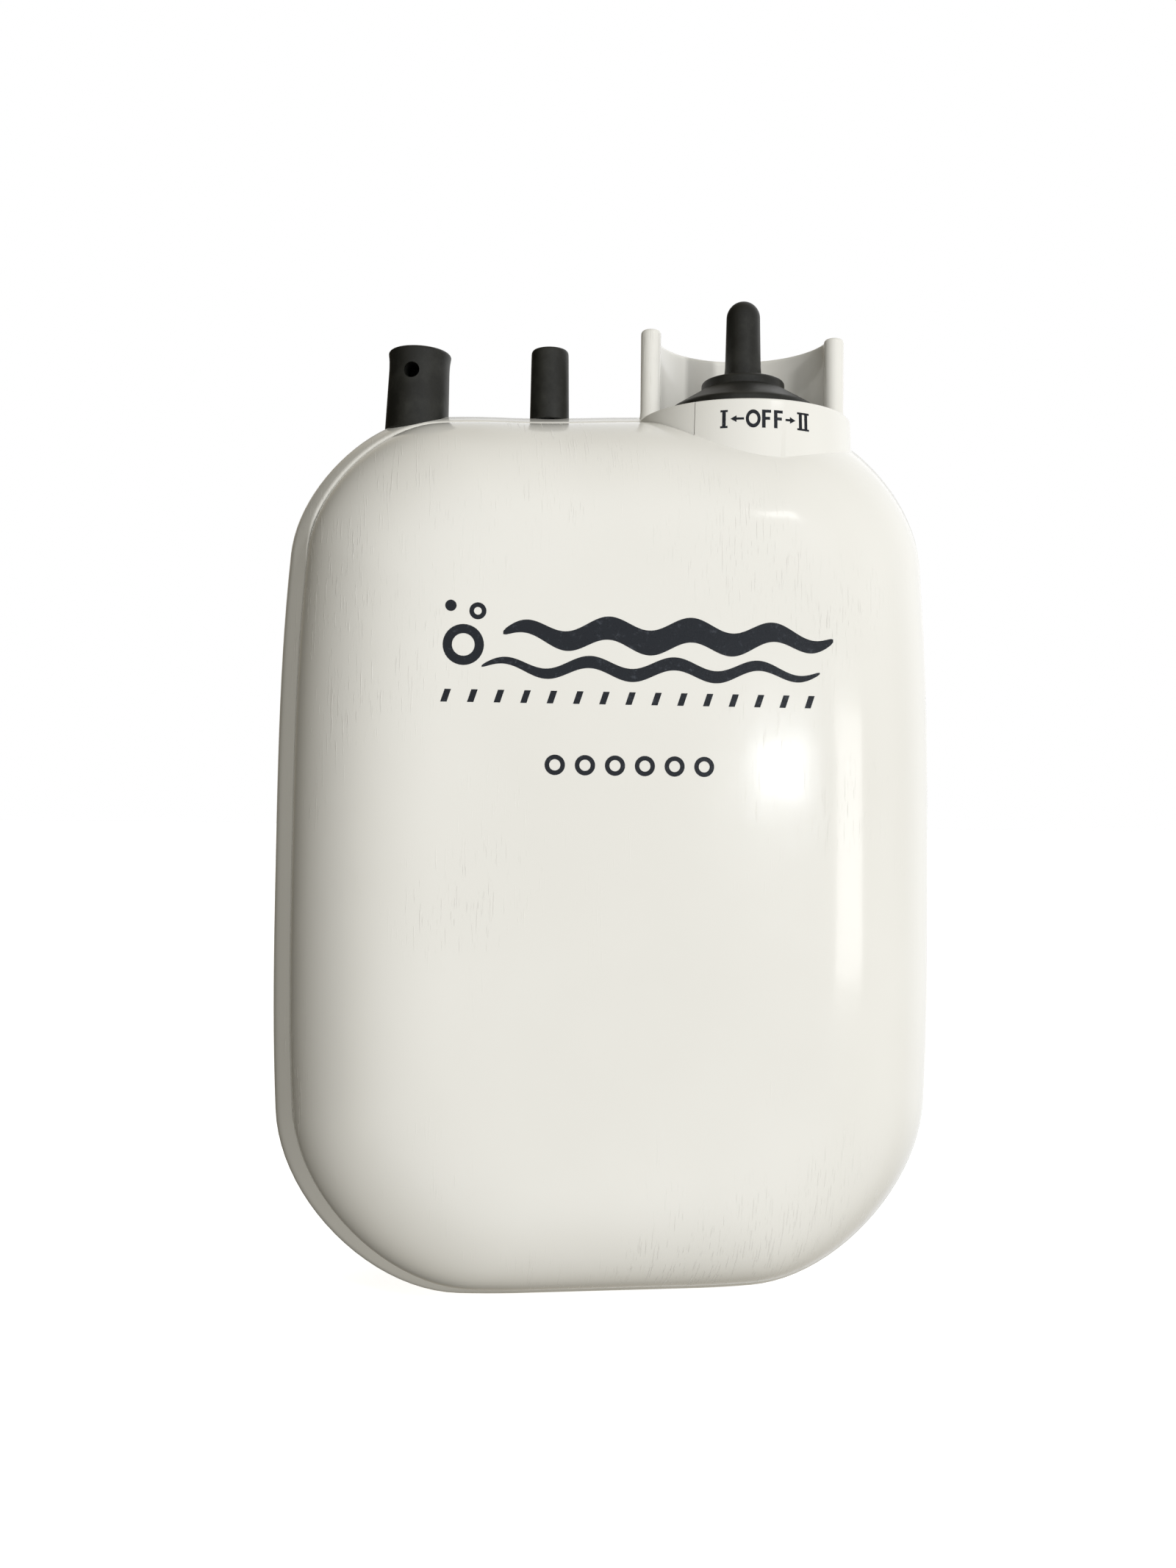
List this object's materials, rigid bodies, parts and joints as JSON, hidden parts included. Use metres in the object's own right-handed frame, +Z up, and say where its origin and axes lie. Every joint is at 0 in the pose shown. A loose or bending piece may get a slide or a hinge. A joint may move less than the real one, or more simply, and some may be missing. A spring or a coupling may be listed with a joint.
{
  "type": "battery aquarium air pump",
  "caption": "Upright pillow-shaped battery air pump with a guarded toggle switch, rubber air intake and outlet stubs, rear battery door and a motor-driven diaphragm pump inside.",
  "frame": {"origin": "middle of the footprint, on the surface the pump stands on", "axes": "+Z up, front face towards -Y, +X to the right when facing the front"},
  "size_m": [0.105, 0.0486, 0.1578],
  "materials": {
    "shell_white": "glossy warm-white ABS, moulded",
    "rubber_black": "matt black rubber",
    "rubber_seal": "dark grey sealing rubber",
    "steel": "plain steel",
    "brass": "plain brass",
    "plastic_grey": "grey moulded plastic",
    "plastic_black": "black moulded plastic",
    "magnet": "dark ferrite magnet",
    "cell_wrap": "plain plastic-wrapped metal battery can",
    "foam": "open-cell foam",
    "silicone": "translucent silicone or ceramic",
    "wire_red": "PVC insulation",
    "wire_black": "PVC insulation",
    "wire_blue": "PVC insulation"
  },
  "bodies": {
    "root": {"front_cover": "shell_white", "rear_body": "shell_white", "case_gasket": "rubber_seal", "case_screw_1": "steel", "case_screw_2": "steel", "case_screw_3": "steel", "case_screw_4": "steel", "d_cell_1": "cell_wrap", "d_cell_2": "cell_wrap", "cell_link_plate": "steel", "contact_spring_lower": "steel", "contact_spring_upper": "steel", "positive_contact": "brass", "negative_contact": "steel", "bulkhead": "plastic_grey", "motor_can": "steel", "motor_magnet_1": "magnet", "motor_magnet_2": "magnet", "motor_end_cap": "plastic_black", "motor_terminal_1": "brass", "motor_terminal_2": "brass", "motor_cradle": "plastic_grey", "motor_strap": "steel", "pump_bracket": "plastic_grey", "diaphragm": "rubber_black", "valve_block": "plastic_grey", "pump_cover": "plastic_grey", "pump_screw_1": "steel", "pump_screw_2": "steel", "outlet_hose": "silicone", "outlet_spigot": "plastic_black", "outlet_sleeve": "rubber_black", "intake_spigot": "plastic_black", "intake_cap": "rubber_black", "intake_filter": "foam", "switch_body": "plastic_black", "switch_bushing": "steel", "switch_nut": "steel", "boot_base": "rubber_black", "switch_terminal_1": "brass", "switch_terminal_2": "brass", "switch_terminal_3": "brass", "speed_resistor": "silicone", "wire_supply": "wire_red", "wire_high_speed": "wire_red", "wire_low_speed": "wire_blue", "wire_resistor": "wire_blue", "wire_return": "wire_black"},
    "door": {"battery_door": "shell_white", "door_gasket": "rubber_seal"},
    "toggle": {"toggle_bat": "steel", "toggle_sleeve": "rubber_black"},
    "crank": {"motor_shaft": "steel", "motor_armature": "steel", "eccentric": "brass"},
    "rod": {"connecting_rod": "plastic_black"},
    "piston": {"diaphragm_stud": "plastic_grey"},
    "inlet_valve": {"inlet_flap": "rubber_black"},
    "outlet_valve": {"outlet_flap": "rubber_black"}
  },
  "joints": [
    {"name": "toggle_tilt", "type": "hinge", "parent": "root", "child": "toggle", "pos_m": [0.0202, -0.00165, 0.139], "axis": [0, 1, 0], "range_deg": [-13, 13]},
    {"name": "door_hinge", "type": "hinge", "parent": "root", "child": "door", "pos_m": [0, 0.02425, 0.0102], "axis": [-1, 0, 0], "range_deg": [0, 75]},
    {"name": "motor_spin", "type": "hinge", "parent": "root", "child": "crank", "pos_m": [0, 0.00125, 0.0945], "axis": [1, 0, 0], "continuous": true},
    {"name": "rod_pivot", "type": "hinge", "parent": "crank", "child": "rod", "pos_m": [-0.0105, 0.00205, 0.0945], "axis": [1, 0, 0], "continuous": true},
    {"name": "diaphragm_stroke", "type": "slide", "parent": "root", "child": "piston", "axis": [0, 0, 1], "range_m": [-0.0008, 0.0008], "stiffness_N_per_m": 200, "deforming": ["diaphragm"]},
    {"name": "inlet_flap_lift", "type": "slide", "parent": "root", "child": "inlet_valve", "axis": [0, 0, -1], "range_m": [0, 0.0005]},
    {"name": "outlet_flap_lift", "type": "slide", "parent": "root", "child": "outlet_valve", "axis": [0, 0, 1], "range_m": [0, 0.0005]}
  ],
  "couplings": [
    {"joint": "rod_pivot", "follows": "motor_spin", "ratio": -1}
  ]
}
